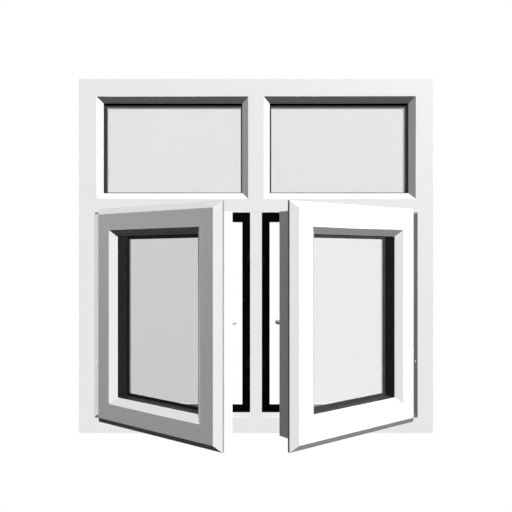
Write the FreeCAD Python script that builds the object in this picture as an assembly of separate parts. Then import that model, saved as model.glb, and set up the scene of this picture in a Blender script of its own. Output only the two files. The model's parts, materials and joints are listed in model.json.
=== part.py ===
import FreeCAD, Part
import math
import os

# Casement window: two fixed lights over two side-hung sashes that open outwards.
# X is across the window, +Y points indoors, +Z is up.  The origin is the centre of
# the sill's underside.  The sashes are drawn closed and then swung to their open pose.

# ---- Overall sizes, mm ----
window_width = 1000.0
window_height = 1000.0
frame_depth = 80.0
transom_centre = 639.5            # height of the transom's middle above the sill's underside

# ---- Outer frame profile: distance in from the outer edge, depth behind the outer face ----
frame_face = 43.5                 # face width up to the rebate
mullion_face = 33.0               # face width of the transom and the mullions
upstand_height = 23.5             # how far the inner upstand stands into the opening
rebate_depth = 62.0               # outer face to the front of the upstand
edge_break = 0.8                  # small chamfer on the profile's outer arrises
profile_wall = 3.0
steel_start = 5.0                 # front of the steel's chamber behind the outer face
steel_depth = 35.0                # depth of the steel's chamber
frame_steel_margin = 6.0          # plastic left each side of the steel in the outer frame
mullion_steel_margin = 4.0        # the same in the transom and the mullions
steel_wall = 1.5
steel_clearance = 0.3
steel_corner_gap = 4.5            # face of the crossing length to the end of a steel

# ---- Glass unit and glazing ----
pane_thickness = 4.0
cavity = 8.0
edge_gap = 5.0                    # glass edge to rebate, where the packers stand
spacer_width = 11.0
spacer_inset = 1.0
tape_thickness = 2.0              # bedding tape between the glass and the profile behind it
bead_flat = 5.5
chamfer_width = 17.0
chamfer_depth = 15.0
bead_lip = 2.0                    # wall below the chamfer, in front of the gasket
gasket_lining = 1.5
gasket_foot = 2.5
gasket_sight = 5.0                # how far the gasket's foot shows over the fixed glass
sash_gasket_sight = 7.5           # the same in the sashes
packer_length = 60.0
packer_corner_gap = 45.0

# ---- Sash profile: distance in from the flange edge, depth behind the sash's outer face ----
flange_overlap = 9.0              # the flange laps over the frame's face
flange_edge = 6.0                 # thickness of the flange at its tip
hardware_gap = 13.5               # sash body to frame rebate
sash_body_depth = 58.0            # flange's back to the sash's back
sash_leg = 9.0                    # thickness of the leg behind the glass
sash_leg_height = 14.0
sash_leg_tip = 2.0                # its thickness at the tip, next to the glass
sash_leg_flat = 4.0               # flat part of its back, before it slopes to the tip
seal_gap = 3.5                    # flange's back to the frame's face when closed
sash_steel_width = 16.0
sash_steel_front = 4.0
sash_steel_depth = 63.0
sash_steel_corner_gap = 9.0       # chamber of the crossing steel to the end of a steel

# ---- Seals ----
flange_seal_height = 3.2
flange_seal_width = 5.0
flange_seal_inset = 2.5
flange_seal_taper = 1.0           # how much each side leans in to its tip
rebate_seal_base = 1.2
bulb_width = 6.0
bulb_clearance = 0.4
bulb_inset = 15.5                 # frame rebate to the bulb's near side

# ---- Friction stays ----
open_angle = 37.7                 # degrees the sashes stand open
arm_ratio = 0.8                   # support arm's turn per degree of sash
rear_ratio = 0.52                 # rear arm's turn per degree of sash
track_line = 10.0                 # stay's centre line behind the frame's face
heel_offset = 16.0                # flange edge to the heel pivot
support_pivot_offset = 94.0       # flange edge to the support arm's pivot on the sash
support_arm_length = 120.0
rear_arm_length = 40.0
track_width = 18.0
track_base = 2.0
track_lip = 1.2
track_lip_height = 1.5
track_jamb_gap = 1.5
track_tail = 14.0                 # track beyond the fixed pivot
arm_thickness = 2.2
arm_level = 5.7                   # rebate floor to the arms' underside
support_arm_width = 14.0
rear_arm_width = 12.0
sash_arm_width = 13.0
sash_arm_length = 200.0
rivet_radius = 3.0
running_clearance = 0.05
rivet_head_radius = 4.5
rivet_head = 1.6
layer_gap = 0.2
boss_radius = 5.5
shoe_length = 22.0
shoe_side_clearance = 1.2
shoe_height = 3.0

# ---- Screws ----
screw_radius = 2.0
screw_head_radius = 3.7
screw_head_height = 1.7
screw_clearance = 0.1
frame_screw_length = 14.0
track_screw_shares = (0.25, 0.5, 0.75)     # screws' places along the clear part of the track
sash_arm_screw_shares = (0.1, 0.45, 0.85)  # the same along the sash arm
sash_screw_length = 18.0
keep_screw_length = 12.0
fixing_hole_radius = 4.0
fixing_depth = 22.5               # fixing holes behind the outer face
fixing_heights = (200.0, 800.0)

# ---- Lock and handle ----
lock_travel = 18.0
lock_line = 34.0                  # lock's centre line behind the sash's outer face
recess_width = 16.0               # recess for the faceplate in the lock stile's edge
recess_depth = 3.0
channel_width = 12.0              # channel behind it for the drive bar and the gearbox
channel_depth = 8.5
cam_offsets = (-150.0, 150.0)     # cams above and below the lock's middle, at mid travel
faceplate_length = 420.0
faceplate_clearance = 0.2
bar_thickness = 2.5
bar_width = 10.0
bar_length = 370.0
cam_reach = 9.0
cam_stem_radius = 2.5
cam_head_radius = 4.0
cam_head_length = 3.0
spindle_offset = 47.0             # flange edge to the spindle
spindle_square = 7.0
spindle_bore = 5.1
crank_radius = 12.7
crank_pin_radius = 2.0
crank_slack = 0.6
crank_thickness = 2.2
crank_angle = 45.0                # crank below the level when the lock is open
crank_end_play = 0.4              # crank to the gearbox's wall
pin_overhang = 1.0                # pin beyond the drive bar's tab
tab_half_height = 7.0
tab_offset = 1.0                  # tab's front face before the lock's centre line
tab_rim = 0.7                     # metal left at the end of the tab's slot
slot_slack = 0.8                  # slot beyond the pin at each end of its stroke
case_wall = 1.6
case_half_height = 28.0
case_end = 6.2                    # gearbox case beyond the spindle's centre
case_cover = 2.8                  # plastic between the gearbox and the glazing rebate
steel_case_gap = 2.0              # gearbox to the ends of the stile's steel tubes
keep_base = 1.6
keep_lip = 2.5
keep_lip_reach = 8.5
keep_width = 21.0
keep_lip_half_height = 8.0
keep_clearance = 0.4              # lip to the locked cam
keep_end = 18.0                   # keep's end beyond the cam's end positions
keep_screw_inset = 6.0            # keep's end to its screw
handle_base_width = 22.0
handle_base_height = 100.0
handle_base_depth = 8.0
handle_base_edge = 1.5            # rounding of its rim
neck_radius = 6.5
neck_length = 20.0
lever_length = 112.0
lever_depth = 12.0
lever_width = 13.0
lever_rounding = 3.0
handle_screw_offset = 36.0
cut = 1.0                         # how far a cutting tool runs past the face it opens
tolerance = 0.01

# ---- Worked out from the sizes above ----
half_width = window_width / 2
half_face = mullion_face / 2
unit_thickness = 2 * pane_thickness + cavity
outer_face = -frame_depth / 2
upper_bottom = transom_centre + half_face
lower_top = transom_centre - half_face
opening_left = -half_width + frame_face
opening_right = -half_face
opening_top = window_height - frame_face
frame_unit_front = rebate_depth - tape_thickness - unit_thickness
flange_back = chamfer_depth + flange_edge
sash_depth = flange_back + sash_body_depth
sash_unit_front = sash_depth - sash_leg - tape_thickness - unit_thickness
body_inset = flange_overlap + hardware_gap
sash_face = spindle_offset + case_end + case_cover     # flange edge to the glazing rebate
sash_steel_start = sash_face - profile_wall - sash_steel_width
sash_steel_end_gap = sash_steel_start + sash_steel_width + sash_steel_corner_gap
steel_end_gap = frame_face + steel_corner_gap
sash_left = opening_left - flange_overlap
sash_right = opening_right + flange_overlap
sash_bottom = frame_face - flange_overlap
sash_top = lower_top + flange_overlap
sash_plane = outer_face - seal_gap - flange_back
lock_middle = (sash_bottom + sash_top) / 2
track_y = outer_face + track_line
SIDES = ("bottom", "right", "top", "left")


def vec(x, y, z):
    return FreeCAD.Vector(x, y, z)


def box(x0, y0, z0, x1, y1, z1):
    """A box between two corners."""
    return Part.makeBox(x1 - x0, y1 - y0, z1 - z0, vec(x0, y0, z0))


def fuse_all(shapes):
    whole = shapes[0]
    for shape in shapes[1:]:
        whole = whole.fuse(shape)
    return whole.removeSplitter()


def cut_all(shape, tools):
    for tool in tools:
        shape = shape.cut(tool)
    return shape


def mirrored_x(shape):
    return shape.mirror(vec(0, 0, 0), vec(1, 0, 0))


def section(outline, chambers=()):
    """A profile's section: outline points and rectangular chambers, as (inward, depth)."""
    wires = [Part.makePolygon([vec(0, d, u) for u, d in list(outline) + [outline[0]]])]
    for u0, d0, u1, d1 in chambers:
        corners = ((u0, d0), (u1, d0), (u1, d1), (u0, d1), (u0, d0))
        wires.append(Part.makePolygon([vec(0, d, u) for u, d in corners]))
    face = Part.Face(wires[0])
    for wire in wires[1:]:
        face = face.cut(Part.Face(wire))
    return face.Faces[0]


def mitred_ring(face, x0, z0, x1, z1, y0):
    """Four mitred lengths of a profile round a rectangle, its outer edge on the rectangle."""
    reach = min(x1 - x0, z1 - z0) / 2
    turns = {"bottom": (0, x0, z0, x1 - x0), "right": (-90, x1, z0, z1 - z0),
             "top": (180, x1, z1, x1 - x0), "left": (90, x0, z1, z1 - z0)}
    low = face.BoundBox.YMin - cut
    sides = {}
    for name, (angle, x, z, length) in turns.items():
        corners = (vec(0, low, 0), vec(length, low, 0), vec(length - reach, low, reach),
                   vec(reach, low, reach), vec(0, low, 0))
        wedge = Part.Face(Part.makePolygon(list(corners)))
        wedge = wedge.extrude(vec(0, face.BoundBox.YLength + 2 * cut, 0))
        side = face.extrude(vec(length, 0, 0)).common(wedge)
        side.rotate(vec(0, 0, 0), vec(0, 1, 0), angle)
        side.translate(vec(x, y0, z))
        sides[name] = side.Solids[0]
    return sides


def joined_ring(face, x0, z0, x1, z1, y0):
    """The same ring welded into one solid, as a seal or a tape is."""
    sides = mitred_ring(face, x0, z0, x1, z1, y0)
    return fuse_all([sides[name] for name in SIDES])


def stadium(x0, x1, y, z, width, height):
    """A flat bar along X with round ends centred on x0 and x1."""
    bar = box(x0, y - width / 2, z, x1, y + width / 2, z + height)
    ends = [Part.makeCylinder(width / 2, height, vec(x, y, z)) for x in (x0, x1)]
    return fuse_all([bar] + ends)


def screw(length, clearance=0.0):
    """A countersunk screw down -Z with its head's top at the origin."""
    head = Part.makeCone(screw_head_radius + clearance, screw_radius + clearance,
                         screw_head_height, vec(0, 0, 0), vec(0, 0, -1))
    shank = Part.makeCylinder(screw_radius + clearance, length + clearance,
                              vec(0, 0, 0), vec(0, 0, -1))
    return fuse_all([shank, head])


def placed(shape, point, axis=None, angle=0.0):
    """A copy of a shape, turned about the origin and then moved to a point."""
    shape = shape.copy()
    if axis is not None:
        shape.rotate(vec(0, 0, 0), axis, angle)
    shape.translate(point)
    return shape


# ---- Profiles ----

def frame_section():
    inner = frame_face + upstand_height
    outline = ((0, 0), (frame_face - edge_break, 0), (frame_face, edge_break),
               (frame_face, rebate_depth), (inner, rebate_depth), (inner, frame_depth),
               (0, frame_depth))
    low = frame_steel_margin
    high = frame_face - frame_steel_margin
    steel_end = steel_start + steel_depth
    chambers = ((low, steel_start, high, steel_end),
                (low, steel_end + profile_wall, high, rebate_depth - profile_wall / 2),
                (low, rebate_depth + profile_wall, inner - profile_wall,
                 frame_depth - profile_wall))
    return section(outline, chambers)


def mullion_section():
    """The symmetrical section of the transom and the mullions, about its middle."""
    wide = half_face + upstand_height
    edge = half_face - edge_break
    outline = ((-edge, 0), (edge, 0), (half_face, edge_break), (half_face, rebate_depth),
               (wide, rebate_depth), (wide, frame_depth), (-wide, frame_depth),
               (-wide, rebate_depth), (-half_face, rebate_depth), (-half_face, edge_break))
    high = half_face - mullion_steel_margin
    steel_end = steel_start + steel_depth
    far = wide - profile_wall
    chambers = ((-high, steel_start, high, steel_end),
                (-high, steel_end + profile_wall, high, rebate_depth - profile_wall / 2),
                (-far, rebate_depth + profile_wall, far, frame_depth - profile_wall))
    return section(outline, chambers)


def bead_section(depth):
    """An outer glazing bead: flat, chamfer, lip, and a wall set back for the gasket."""
    sight = bead_flat + chamfer_width
    wall = sight - gasket_lining
    lip = chamfer_depth + bead_lip
    outline = ((0, 0), (bead_flat, 0), (sight, chamfer_depth), (sight, lip), (wall, lip),
               (wall, depth), (0, depth))
    chamber = (profile_wall, chamfer_depth, wall - profile_wall, depth - profile_wall)
    return section(outline, (chamber,))


def gasket_section(depth, reach):
    """The gasket that lines a bead's wall and reaches this far over the glass."""
    sight = bead_flat + chamfer_width
    wall = sight - gasket_lining
    lip = chamfer_depth + bead_lip
    heel = wall - 2 * profile_wall
    outline = ((wall, lip), (sight, lip), (sight, depth), (sight + reach, depth),
               (sight + reach, depth + gasket_foot), (heel, depth + gasket_foot),
               (heel, depth), (wall, depth))
    return section(outline)


def sash_section():
    leg_top = sash_face + sash_leg_height
    leg_front = sash_depth - sash_leg
    outline = ((0, chamfer_depth), (chamfer_width, 0), (sash_face - edge_break, 0),
               (sash_face, edge_break), (sash_face, leg_front), (leg_top, leg_front),
               (leg_top, leg_front + sash_leg_tip), (sash_face + sash_leg_flat, sash_depth),
               (body_inset, sash_depth), (body_inset, flange_back), (0, flange_back))
    inner = sash_steel_start - profile_wall
    front = (chamfer_width + profile_wall, sash_steel_front, inner, flange_back - profile_wall)
    side = (body_inset + recess_depth + profile_wall, flange_back + profile_wall, inner,
            sash_depth - profile_wall)
    steel = (sash_steel_start, sash_steel_front, sash_steel_start + sash_steel_width,
             sash_steel_front + sash_steel_depth)
    return section(outline, (front, side, steel))


def steel_tube(width, depth, length):
    """A rectangular steel tube along X, its corner at the origin."""
    outer = box(0, 0, 0, length, depth, width)
    wall = steel_wall
    return outer.cut(box(-cut, wall, wall, length + cut, depth - wall, width - wall))


# ---- Outer frame ----

def fixing_holes():
    """Holes through both jambs for the screws that hold the window in the wall."""
    y = outer_face + fixing_depth
    return [Part.makeCylinder(fixing_hole_radius, window_width, vec(-half_width, y, z),
                              vec(1, 0, 0)) for z in fixing_heights]


def frame_members():
    ring = mitred_ring(frame_section(), -half_width, 0, half_width, window_height, outer_face)
    holes = fixing_holes()
    bar = mullion_section()
    inner = frame_face + upstand_height
    front = outer_face + rebate_depth
    back = -outer_face + cut
    transom = bar.extrude(vec(2 * -opening_left, 0, 0))
    transom.translate(vec(opening_left, outer_face, transom_centre))
    notches = [box(-half_width, front, 0, -half_width + inner, back, window_height),
               box(half_width - inner, front, 0, half_width, back, window_height)]
    members = {"frame_sill": ring["bottom"], "frame_head": ring["top"],
               "frame_left_jamb": cut_all(ring["left"], holes),
               "frame_right_jamb": cut_all(ring["right"], holes),
               "transom": cut_all(transom, notches)}
    reach = half_face + upstand_height
    spans = {"upper_mullion": (upper_bottom, opening_top, transom_centre + reach,
                               window_height - inner),
             "lower_mullion": (frame_face, lower_top, inner, transom_centre - reach)}
    for name, (z0, z1, low, high) in spans.items():
        mullion = bar.extrude(vec(z1 - z0, 0, 0))
        mullion.rotate(vec(0, 0, 0), vec(0, 1, 0), -90)
        mullion.translate(vec(0, outer_face, z0))
        ends = [box(-half_width, front, z0 - cut, half_width, back, low),
                box(-half_width, front, high, half_width, back, z1 + cut)]
        members[name] = cut_all(mullion, ends)
    return members


def frame_steels():
    """Steel tubes inside the seven lengths of the outer frame."""
    y = outer_face + steel_start + steel_clearance
    depth = steel_depth - 2 * steel_clearance
    low = frame_steel_margin + steel_clearance
    wide = frame_face - 2 * low
    narrow = mullion_face - 2 * (mullion_steel_margin + steel_clearance)
    gap = steel_end_gap
    across = steel_tube(wide, depth, window_width - 2 * gap)
    upright = steel_tube(wide, depth, window_height - 2 * gap)
    axis = vec(0, 1, 0)
    bar_gap = profile_wall
    tubes = [placed(across, vec(-half_width + gap, y, low)),
             placed(across, vec(-half_width + gap, y, window_height - low - wide)),
             cut_all(placed(upright, vec(-half_width + low + wide, y, gap), axis, -90),
                     fixing_holes()),
             cut_all(placed(upright, vec(half_width - low, y, gap), axis, -90),
                     fixing_holes())]
    transom = steel_tube(narrow, depth, 2 * (-opening_left - bar_gap))
    tubes.append(placed(transom, vec(opening_left + bar_gap, y, transom_centre - narrow / 2)))
    for z0, z1 in ((upper_bottom, opening_top), (frame_face, lower_top)):
        tube = steel_tube(narrow, depth, z1 - z0 - 2 * bar_gap)
        tubes.append(placed(tube, vec(narrow / 2, y, z0 + bar_gap), axis, -90))
    return tubes


# ---- Glass and glazing, for a rebate of any size ----

def glazing(x0, z0, x1, z1, front, plane, tape_cover, reach):
    """Panes, spacer, beads, gasket, tape and packers for the rebate from x0,z0 to x1,z1.

    front is the glass's depth behind the plane at y = plane, and reach is how far the
    gasket shows over it.
    """
    gx0, gz0, gx1, gz1 = x0 + edge_gap, z0 + edge_gap, x1 - edge_gap, z1 - edge_gap
    y0 = plane + front
    y1 = y0 + pane_thickness
    y2 = y1 + cavity
    y3 = y2 + pane_thickness
    inset = spacer_inset
    far = spacer_inset + spacer_width
    spacer = box(gx0 + inset, y1, gz0 + inset, gx1 - inset, y2, gz1 - inset)
    spacer = spacer.cut(box(gx0 + far, y1 - cut, gz0 + far, gx1 - far, y2 + cut, gz1 - far))
    tape = box(gx0, y3, gz0, gx1, y3 + tape_thickness, gz1)
    cover = tape_cover - edge_gap - profile_wall / 2
    tape = tape.cut(box(gx0 + cover, y3 - cut, gz0 + cover, gx1 - cover,
                        y3 + tape_thickness + cut, gz1 - cover))
    bead_depth = front - gasket_foot
    beads = mitred_ring(bead_section(bead_depth), x0, z0, x1, z1, plane)
    gasket = joined_ring(gasket_section(bead_depth, reach), x0, z0, x1, z1, plane)
    packers = []
    for x in (gx0 + packer_corner_gap, gx1 - packer_corner_gap - packer_length):
        packers.append(box(x, y0, z0, x + packer_length, y3, gz0))
    for xa, xb in ((x0, gx0), (gx1, x1)):
        top = gz1 - packer_corner_gap
        packers.append(box(xa, y0, top - packer_length, xb, y3, top))
    return {"outer_pane": [box(gx0, y0, gz0, gx1, y1, gz1)],
            "inner_pane": [box(gx0, y2, gz0, gx1, y3, gz1)],
            "spacer": [spacer], "beads": [beads[name] for name in SIDES],
            "gaskets": [gasket, tape], "packers": packers}


def fixed_lights():
    left = glazing(opening_left, upper_bottom, opening_right, opening_top, frame_unit_front,
                   outer_face, upstand_height, gasket_sight)
    return {name: shapes + [mirrored_x(shape) for shape in shapes]
            for name, shapes in left.items()}


# ---- Left sash, closed ----

def sash_rails():
    return mitred_ring(sash_section(), sash_left, sash_bottom, sash_right, sash_top,
                       sash_plane)


def sash_steels():
    """Tubes in the four lengths; the lock stile's stops short of the gearbox."""
    clear = steel_clearance
    width = sash_steel_width - 2 * clear
    depth = sash_steel_depth - 2 * clear
    y = sash_plane + sash_steel_front + clear
    low = sash_steel_start + clear
    gap = sash_steel_end_gap
    axis = vec(0, 1, 0)
    across = steel_tube(width, depth, sash_right - sash_left - 2 * gap)
    upright = steel_tube(width, depth, sash_top - sash_bottom - 2 * gap)
    half = steel_tube(width, depth,
                      lock_middle - case_half_height - steel_case_gap - sash_bottom - gap)
    far_x = sash_right - low
    return [placed(across, vec(sash_left + gap, y, sash_bottom + low)),
            placed(across, vec(sash_left + gap, y, sash_top - low - width)),
            placed(upright, vec(sash_left + low + width, y, sash_bottom + gap), axis, -90),
            placed(half, vec(far_x, y, sash_bottom + gap), axis, -90),
            placed(half, vec(far_x, y, lock_middle + case_half_height + steel_case_gap), axis,
                   -90)]


def flange_seal():
    u0 = flange_seal_inset
    u1 = u0 + flange_seal_width
    tip = flange_back + flange_seal_height
    taper = flange_seal_taper
    face = section(((u0, flange_back), (u1, flange_back), (u1 - taper, tip),
                    (u0 + taper, tip)))
    return joined_ring(face, sash_left, sash_bottom, sash_right, sash_top, sash_plane)


def rebate_seal():
    """The black seal on the front of the upstand, with a bulb that the closed sash meets."""
    front = rebate_depth - rebate_seal_base
    tip = sash_body_depth - seal_gap + bulb_clearance
    radius = bulb_width / 2
    centre = bulb_inset + radius
    base = section(((0, front), (upstand_height, front), (upstand_height, rebate_depth),
                    (0, rebate_depth)))
    far = bulb_inset + bulb_width
    crown = Part.Arc(vec(0, tip + radius, bulb_inset), vec(0, tip, centre),
                     vec(0, tip + radius, far)).toShape()
    stem = Part.makePolygon([vec(0, tip + radius, far), vec(0, front, far),
                             vec(0, front, bulb_inset), vec(0, tip + radius, bulb_inset)])
    bulb = Part.Face(Part.Wire([crown] + stem.Edges))
    rings = [joined_ring(face, opening_left, frame_face, opening_right, lower_top, outer_face)
             for face in (base, bulb)]
    return fuse_all(rings)


# ---- Friction stays at the bottom of the left sash, closed ----

heel_x = sash_left + heel_offset
support_x = sash_left + support_pivot_offset
fixed_x = support_x + support_arm_length
shoe_x = heel_x + rear_arm_length
floor_z = frame_face
arm_z = floor_z + arm_level
arm_top = arm_z + arm_thickness
sash_arm_z = floor_z + hardware_gap - arm_thickness
stay_middle = (frame_face + lower_top) / 2


def rivet(x, z0, z1, head_below, head_above):
    """A rivet through an arm, with the heads asked for clear of the arm's faces."""
    pieces = [Part.makeCylinder(rivet_radius, z1 - z0, vec(x, track_y, z0))]
    if head_below:
        low = arm_z - layer_gap - rivet_head
        pieces.append(Part.makeCylinder(rivet_head_radius, rivet_head, vec(x, track_y, low)))
    if head_above:
        high = arm_top + layer_gap
        pieces.append(Part.makeCylinder(rivet_head_radius, rivet_head, vec(x, track_y, high)))
    return fuse_all(pieces)


def track_screw_points():
    start = shoe_x - shoe_length
    return [start + (fixed_x - start) * share for share in track_screw_shares]


def stay_track():
    x0 = opening_left + track_jamb_gap
    x1 = fixed_x + track_tail
    half = track_width / 2
    top = floor_z + track_base
    track = box(x0, track_y - half, floor_z, x1, track_y + half, top)
    lips = [box(x0, track_y - half, top, x1, track_y - half + track_lip,
                top + track_lip_height),
            box(x0, track_y + half - track_lip, top, x1, track_y + half,
                top + track_lip_height)]
    boss = Part.makeCylinder(boss_radius, arm_z - layer_gap - top, vec(fixed_x, track_y, top))
    pin = rivet(fixed_x, top, arm_top + layer_gap + rivet_head, False, True)
    holes = [placed(screw(frame_screw_length, screw_clearance), vec(x, track_y, top))
             for x in track_screw_points()]
    return cut_all(fuse_all([track] + lips + [boss, pin]), holes)


def arm(x0, x1, width):
    """A stay arm with a running hole at each end."""
    bar = stadium(x0, x1, track_y, arm_z, width, arm_thickness)
    radius = rivet_radius + running_clearance
    holes = [Part.makeCylinder(radius, arm_thickness + 2 * cut, vec(x, track_y, arm_z - cut))
             for x in (x0, x1)]
    return cut_all(bar, holes)


def sash_arm_screw_points():
    start = support_x + 2 * boss_radius
    end = heel_x + sash_arm_length
    return [start + (end - start) * share for share in sash_arm_screw_shares]


def sash_arm():
    """The plate under the sash, with the two pivots that the arms turn on."""
    plate = stadium(heel_x, heel_x + sash_arm_length, track_y, sash_arm_z, sash_arm_width,
                    arm_thickness)
    pieces = [plate]
    for x in (heel_x, support_x):
        low = arm_top + layer_gap
        pieces.append(Part.makeCylinder(boss_radius, sash_arm_z - low, vec(x, track_y, low)))
        pieces.append(rivet(x, arm_z - layer_gap - rivet_head, sash_arm_z, True, False))
    holes = [placed(screw(sash_screw_length, screw_clearance), vec(x, track_y, sash_arm_z),
                    vec(1, 0, 0), 180) for x in sash_arm_screw_points()]
    return cut_all(fuse_all(pieces), holes)


def shoe():
    """The sliding shoe in the track, with the rear arm's pivot on top."""
    half = track_width / 2 - track_lip - shoe_side_clearance
    low = floor_z + track_base + layer_gap
    block = box(shoe_x - shoe_length / 2, track_y - half, low, shoe_x + shoe_length / 2,
                track_y + half, low + shoe_height)
    pin = rivet(shoe_x, low, arm_top + layer_gap + rivet_head, False, True)
    return fuse_all([block, pin])


def top_and_bottom(shape):
    """The bottom stay's piece and its mirror image for the top stay."""
    return [shape, shape.mirror(vec(0, 0, stay_middle), vec(0, 0, 1))]


# ---- Lock and handle of the left sash, closed ----

def lock_x(inward):
    """X of a point this far in from the flange's edge on the lock stile."""
    return sash_right - inward


lock_y = sash_plane + lock_line
case_front = body_inset + recess_depth + bar_thickness + 2 * faceplate_clearance
case_back = spindle_offset + case_end
case_half_depth = channel_width / 2 - faceplate_clearance
crank_level = crank_radius * math.cos(math.radians(crank_angle))


def lock_box(u0, u1, half_depth, z0, z1):
    """A box in the lock stile between two distances in, centred on the lock's line."""
    return box(lock_x(u1), lock_y - half_depth, z0, lock_x(u0), lock_y + half_depth, z1)


def spindle_bore_tool(y0, y1):
    return Part.makeCylinder(spindle_bore, y1 - y0, vec(lock_x(spindle_offset), y0,
                             lock_middle), vec(0, 1, 0))


def stile_pocket():
    """The routed recess, channel and pocket for the lock, and the spindle's bore."""
    clear = faceplate_clearance
    half_plate = faceplate_length / 2 + clear
    half_bar = (bar_length + lock_travel) / 2 + cut
    half_case = case_half_height + clear
    floor = body_inset + recess_depth
    recess = lock_box(body_inset - cut, floor, recess_width / 2,
                      lock_middle - half_plate, lock_middle + half_plate)
    channel = lock_box(body_inset, floor + channel_depth, channel_width / 2,
                       lock_middle - half_bar, lock_middle + half_bar)
    pocket = lock_box(floor, case_back + clear, case_half_depth + clear,
                      lock_middle - half_case, lock_middle + half_case)
    bore = spindle_bore_tool(lock_y, sash_plane + sash_depth + cut)
    return fuse_all([recess, channel, pocket, bore])


def faceplate():
    """The plate over the recess, with a slot for each cam."""
    inner = body_inset + recess_depth - faceplate_clearance
    half = faceplate_length / 2
    plate = lock_box(body_inset, inner, recess_width / 2 - faceplate_clearance,
                     lock_middle - half, lock_middle + half)
    slot_wide = cam_stem_radius + faceplate_clearance
    slot_half = lock_travel / 2 + slot_wide
    slots = [lock_box(body_inset - cut, inner + cut, slot_wide,
                      lock_middle + offset - slot_half, lock_middle + offset + slot_half)
             for offset in cam_offsets]
    return cut_all(plate, slots)


def tab_window(clearance):
    """The slot in the gearbox's front for the drive bar's tab, over its whole travel."""
    half = lock_travel / 2 + tab_half_height + clearance
    front = lock_y - tab_offset
    return box(lock_x(case_front + case_wall + cut), front - clearance, lock_middle - half,
               lock_x(case_front - cut), front + bar_thickness + clearance,
               lock_middle + half)


def gearbox_case():
    """The case round the crank, open where the spindle and the drive bar's tab go in."""
    deep = case_half_depth
    case = lock_box(case_front, case_back, deep, lock_middle - case_half_height,
                    lock_middle + case_half_height)
    high = case_half_height - case_wall
    hollow = lock_box(case_front + case_wall, spindle_offset + spindle_bore,
                      deep - case_wall, lock_middle - high, lock_middle + high)
    bore = spindle_bore_tool(lock_y - deep, lock_y + deep)
    return cut_all(case, [hollow, bore, tab_window(2 * faceplate_clearance)])


def drive_bar():
    """The sliding bar with its mushroom cams and crank tab, at its unlocked end."""
    middle = lock_middle - lock_travel / 2
    front = body_inset + recess_depth + faceplate_clearance
    back = front + bar_thickness
    pieces = [lock_box(front, back, bar_width / 2, middle - bar_length / 2,
                       middle + bar_length / 2)]
    out = vec(1, 0, 0)
    tip = body_inset - cam_reach
    for offset in cam_offsets:
        foot = vec(lock_x(front), lock_y, middle + offset)
        pieces.append(Part.makeCylinder(cam_stem_radius, front - tip, foot, out))
        head = vec(lock_x(tip + cam_head_length), lock_y, middle + offset)
        pieces.append(Part.makeCylinder(cam_head_radius, cam_head_length, head, out))
    slot_front = spindle_offset - crank_radius - crank_pin_radius - slot_slack
    slot_back = spindle_offset - crank_level + crank_pin_radius + slot_slack
    tab_y = lock_y - tab_offset
    pieces.append(box(lock_x(slot_back + tab_rim), tab_y, middle - tab_half_height,
                      lock_x(back), tab_y + bar_thickness, middle + tab_half_height))
    slot_half = crank_pin_radius + crank_slack
    slot = box(lock_x(slot_back), tab_y - cut, middle - slot_half, lock_x(slot_front),
               tab_y + bar_thickness + cut, middle + slot_half)
    return fuse_all(pieces).cut(slot)


def spindle():
    """The square spindle with its crank and pin, turned to the unlocked end."""
    x = lock_x(spindle_offset)
    start = lock_y - case_half_depth + case_wall + crank_end_play
    end = sash_plane + sash_depth + handle_base_depth + neck_length / 2
    half = spindle_square / 2
    square = box(x - half, start, lock_middle - half, x + half, end, lock_middle + half)
    web = box(0, 0, -crank_pin_radius, crank_radius, crank_thickness, crank_pin_radius)
    web_end = Part.makeCylinder(crank_pin_radius, crank_thickness, vec(crank_radius, 0, 0),
                                vec(0, 1, 0))
    pin_end = lock_y - tab_offset + bar_thickness + pin_overhang
    pin = Part.makeCylinder(crank_pin_radius, pin_end - start, vec(crank_radius, 0, 0),
                            vec(0, 1, 0))
    crank = placed(fuse_all([web, web_end, pin]), vec(x, start, lock_middle))
    crank.rotate(vec(x, 0, lock_middle), vec(0, 1, 0), crank_angle)
    return fuse_all([square, crank])


def handle_lever():
    """The lever, pointing to the hinge side when unlocked, with a round neck."""
    x = lock_x(spindle_offset)
    start = sash_plane + sash_depth + handle_base_depth + layer_gap
    neck = Part.makeCylinder(neck_radius, neck_length + lever_depth / 2,
                             vec(x, start, lock_middle), vec(0, 1, 0))
    blade = stadium(x - lever_length, x, 0, 0, lever_width, lever_depth)
    blade.rotate(vec(0, 0, 0), vec(1, 0, 0), -90)
    blade.translate(vec(0, start + neck_length, lock_middle))
    rims = [edge for edge in blade.Edges
            if edge.BoundBox.YLength < tolerance]
    blade = blade.makeFillet(lever_rounding, rims)
    lever = fuse_all([neck, blade])
    socket = spindle_square / 2 + running_clearance
    end = sash_plane + sash_depth + handle_base_depth + neck_length / 2
    return lever.cut(box(x - socket, start - cut, lock_middle - socket, x + socket,
                         end, lock_middle + socket))


def handle_screw_points():
    return [lock_middle - handle_screw_offset, lock_middle + handle_screw_offset]


def handle_base():
    """The rose plate on the sash's inner face."""
    x = lock_x(spindle_offset)
    y = sash_plane + sash_depth
    straight = (handle_base_height - handle_base_width) / 2
    plate = stadium(-straight, straight, 0, 0, handle_base_width, handle_base_depth)
    plate.rotate(vec(0, 0, 0), vec(1, 0, 0), -90)
    plate.rotate(vec(0, 0, 0), vec(0, 1, 0), 90)
    plate.translate(vec(x, y, lock_middle))
    back_y = y + handle_base_depth
    rims = [edge for edge in plate.Edges if edge.BoundBox.YMin > back_y - tolerance]
    plate = plate.makeFillet(handle_base_edge, rims)
    bore = Part.makeCylinder(spindle_bore, handle_base_depth, vec(x, y, lock_middle),
                             vec(0, 1, 0))
    holes = [placed(screw(sash_screw_length, screw_clearance), vec(x, back_y, z),
                    vec(1, 0, 0), -90) for z in handle_screw_points()]
    return cut_all(plate, [bore] + holes)


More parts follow.
